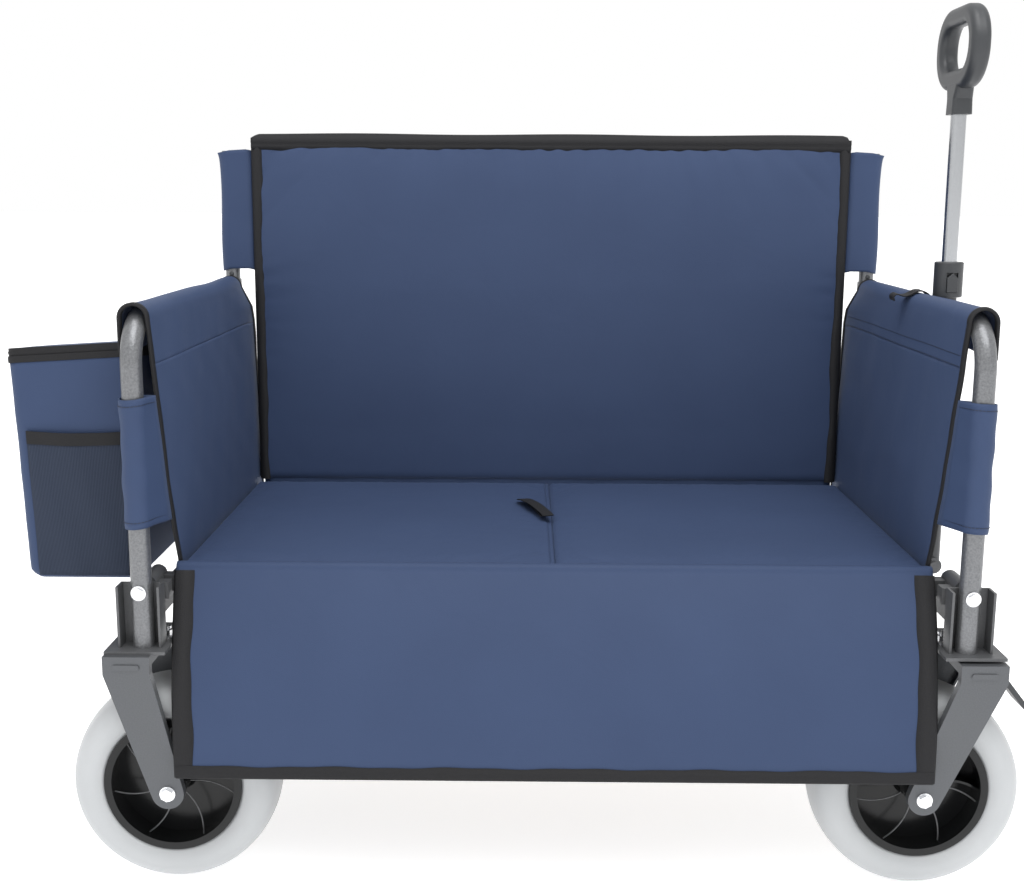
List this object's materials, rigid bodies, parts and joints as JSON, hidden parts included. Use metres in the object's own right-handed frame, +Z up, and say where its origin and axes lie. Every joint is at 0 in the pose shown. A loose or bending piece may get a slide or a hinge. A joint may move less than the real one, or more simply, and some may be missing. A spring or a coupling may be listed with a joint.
{
  "type": "beach cart",
  "caption": "Folding beach cart opened as a two-seat sofa: end hoops on balloon wheels, padded fabric seat and back, front apron, side bag and pull handle.",
  "frame": {"origin": "on the floor under the middle of the whole cart's box, so the cart's own middle plane is at x = +0.047", "axes": "+X along the cart towards the pull handle, -Y towards a sitter's feet, +Z up"},
  "size_m": [1.249, 0.6449, 1.082],
  "materials": {
    "tyre_grey": "satin",
    "hub_black": "semi-gloss",
    "fork_paint": "satin powder coat",
    "hammered_grey": "hammered powder coat",
    "bracket_paint": "satin powder coat",
    "zinc": "bright zinc",
    "blue_fabric": "woven polyester",
    "mesh_fabric": "mesh",
    "black_webbing": "webbing",
    "board": "hardboard",
    "bright_tube": "bright plated",
    "handle_tube": "satin",
    "black_plastic": "fine moulded grain"
  },
  "bodies": {
    "left_end": {"hoop_left": "hammered_grey", "corner_brackets_left": "bracket_paint", "crossbar_left": "bracket_paint", "frame_bolts_left": "zinc", "fork_front_left": "fork_paint", "fork_rear_left": "fork_paint", "axle_bolts_left": "zinc", "arm_cover_left": "blue_fabric", "arm_panel_left": "blue_fabric", "leg_loop_left": "blue_fabric", "bag_body": "blue_fabric", "bag_pockets": "mesh_fabric", "bag_straps": "black_webbing"},
    "bag_lid": {"bag_lid": "blue_fabric"},
    "seat_left": {"seat_frame_left": "bracket_paint", "seat_board_left": "board", "seat_cushion_left": "blue_fabric", "seat_hinge_pins": "zinc", "pull_strap": "black_webbing"},
    "seat_right": {"seat_frame_right": "bracket_paint", "seat_board_right": "board", "seat_cushion_right": "blue_fabric"},
    "right_end": {"hoop_right": "hammered_grey", "corner_brackets_right": "bracket_paint", "crossbar_right": "bracket_paint", "frame_bolts_right": "zinc", "kingpins": "zinc", "arm_cover_right": "blue_fabric", "arm_panel_right": "blue_fabric", "leg_loop_right": "blue_fabric", "handle_bracket": "bracket_paint", "handle_strap": "black_webbing"},
    "left_post": {"back_post_left": "hammered_grey"},
    "right_post": {"back_post_right": "hammered_grey"},
    "left_snap": {"post_button_left": "black_plastic"},
    "right_snap": {"post_button_right": "black_plastic"},
    "back_left": {"back_panel_left": "blue_fabric", "back_sleeve_left": "blue_fabric"},
    "back_right": {"back_panel_right": "blue_fabric", "back_sleeve_right": "blue_fabric"},
    "apron": {"apron": "blue_fabric"},
    "wheel_front_left": {"tyre_front_left": "tyre_grey", "hub_front_left": "hub_black"},
    "wheel_rear_left": {"tyre_rear_left": "tyre_grey", "hub_rear_left": "hub_black"},
    "wheel_front_right": {"tyre_front_right": "tyre_grey", "hub_front_right": "hub_black"},
    "wheel_rear_right": {"tyre_rear_right": "tyre_grey", "hub_rear_right": "hub_black"},
    "caster_front": {"fork_front_right": "fork_paint", "axle_bolt_front_right": "zinc"},
    "caster_rear": {"fork_rear_right": "fork_paint", "axle_bolt_rear_right": "zinc"},
    "brake_front": {"brake_pedal_front": "black_plastic"},
    "brake_rear": {"brake_pedal_rear": "black_plastic"},
    "handle": {"handle_outer_tube": "handle_tube", "handle_collar": "black_plastic"},
    "handle_button": {"handle_button": "black_plastic"},
    "handle_slide": {"handle_inner_tube": "bright_tube", "handle_grip": "black_plastic"}
  },
  "joints": [
    {"name": "fold", "type": "hinge", "parent": "left_end", "child": "seat_left", "pos_m": [-0.446, 0, 0.372], "axis": [0, -1, 0], "range_deg": [0, 68], "deforming": ["apron", "arm_panel_left", "arm_panel_right"]},
    {"name": "fold_middle", "type": "hinge", "parent": "seat_left", "child": "seat_right", "pos_m": [0.047, 0, 0.352], "axis": [0, -1, 0], "range_deg": [-137, 1]},
    {"name": "fold_right", "type": "hinge", "parent": "seat_right", "child": "right_end", "pos_m": [0.54, 0, 0.372], "axis": [0, -1, 0], "range_deg": [-1, 69]},
    {"name": "post_left_slide", "type": "slide", "parent": "left_end", "child": "left_post", "axis": [0, 0, 1], "range_m": [-0.085, 0], "deforming": ["back_sleeve_left", "back_sleeve_right", "post_button_left", "post_button_right"]},
    {"name": "post_right_slide", "type": "slide", "parent": "right_end", "child": "right_post", "axis": [0, 0, 1], "range_m": [-0.086, 0.001]},
    {"name": "back_fold", "type": "hinge", "parent": "left_post", "child": "back_left", "pos_m": [-0.446, 0.278, 0.65], "axis": [0, 0, 1], "range_deg": [-1, 69]},
    {"name": "back_middle", "type": "hinge", "parent": "back_left", "child": "back_right", "pos_m": [0.047, 0.258, 0.65], "axis": [0, 0, 1], "range_deg": [-137, 1]},
    {"name": "snap_left_press", "type": "slide", "parent": "left_post", "child": "left_snap", "axis": [0, 1, 0], "range_m": [0, 0.0035], "stiffness_N_per_m": 600},
    {"name": "snap_right_press", "type": "slide", "parent": "right_post", "child": "right_snap", "axis": [0, 1, 0], "range_m": [0, 0.0035], "stiffness_N_per_m": 600},
    {"name": "apron_flip", "type": "hinge", "parent": "left_end", "child": "apron", "pos_m": [0.047, -0.22, 0.388], "axis": [1, 0, 0], "range_deg": [-138, 0]},
    {"name": "wheel_front_left_roll", "type": "hinge", "parent": "left_end", "child": "wheel_front_left", "pos_m": [-0.417, -0.245, 0.127], "axis": [0, 1, 0], "continuous": true},
    {"name": "caster_front_swivel", "type": "hinge", "parent": "right_end", "child": "caster_front", "pos_m": [0.554, -0.245, 0.296], "axis": [0, 0, 1], "range_deg": [-180, 0]},
    {"name": "wheel_front_right_roll", "type": "hinge", "parent": "caster_front", "child": "wheel_front_right", "pos_m": [0.492, -0.245, 0.127], "axis": [0, 1, 0], "continuous": true},
    {"name": "brake_front_press", "type": "hinge", "parent": "caster_front", "child": "brake_front", "pos_m": [0.572, -0.245, 0.274], "axis": [0, 1, 0], "range_deg": [0, 12]},
    {"name": "wheel_rear_left_roll", "type": "hinge", "parent": "left_end", "child": "wheel_rear_left", "pos_m": [-0.417, 0.245, 0.127], "axis": [0, 1, 0], "continuous": true},
    {"name": "caster_rear_swivel", "type": "hinge", "parent": "right_end", "child": "caster_rear", "pos_m": [0.554, 0.245, 0.296], "axis": [0, 0, 1], "continuous": true},
    {"name": "wheel_rear_right_roll", "type": "hinge", "parent": "caster_rear", "child": "wheel_rear_right", "pos_m": [0.492, 0.245, 0.127], "axis": [0, 1, 0], "continuous": true},
    {"name": "brake_rear_press", "type": "hinge", "parent": "caster_rear", "child": "brake_rear", "pos_m": [0.572, 0.245, 0.274], "axis": [0, 1, 0], "range_deg": [0, 12]},
    {"name": "handle_tilt", "type": "hinge", "parent": "right_end", "child": "handle", "pos_m": [0.579, 0, 0.335], "axis": [0, 1, 0], "range_deg": [0, 75]},
    {"name": "handle_telescope", "type": "slide", "parent": "handle", "child": "handle_slide", "axis": [0, 0, 1], "range_m": [-0.185, 0.15]},
    {"name": "handle_button_press", "type": "slide", "parent": "handle", "child": "handle_button", "axis": [0, 1, 0], "range_m": [0, 0.0025], "stiffness_N_per_m": 500},
    {"name": "bag_lid_open", "type": "hinge", "parent": "left_end", "child": "bag_lid", "pos_m": [-0.467, -0.2, 0.664], "axis": [0, 0.9948, -0.1021], "range_deg": [0, 85]}
  ],
  "couplings": [
    {"joint": "fold_middle", "follows": "fold", "ratio": -2},
    {"joint": "fold_right", "follows": "fold", "ratio": 1},
    {"joint": "back_fold", "follows": "fold", "ratio": 1},
    {"joint": "back_middle", "follows": "fold", "ratio": -2},
    {"joint": "post_right_slide", "follows": "post_left_slide", "ratio": 1}
  ]
}
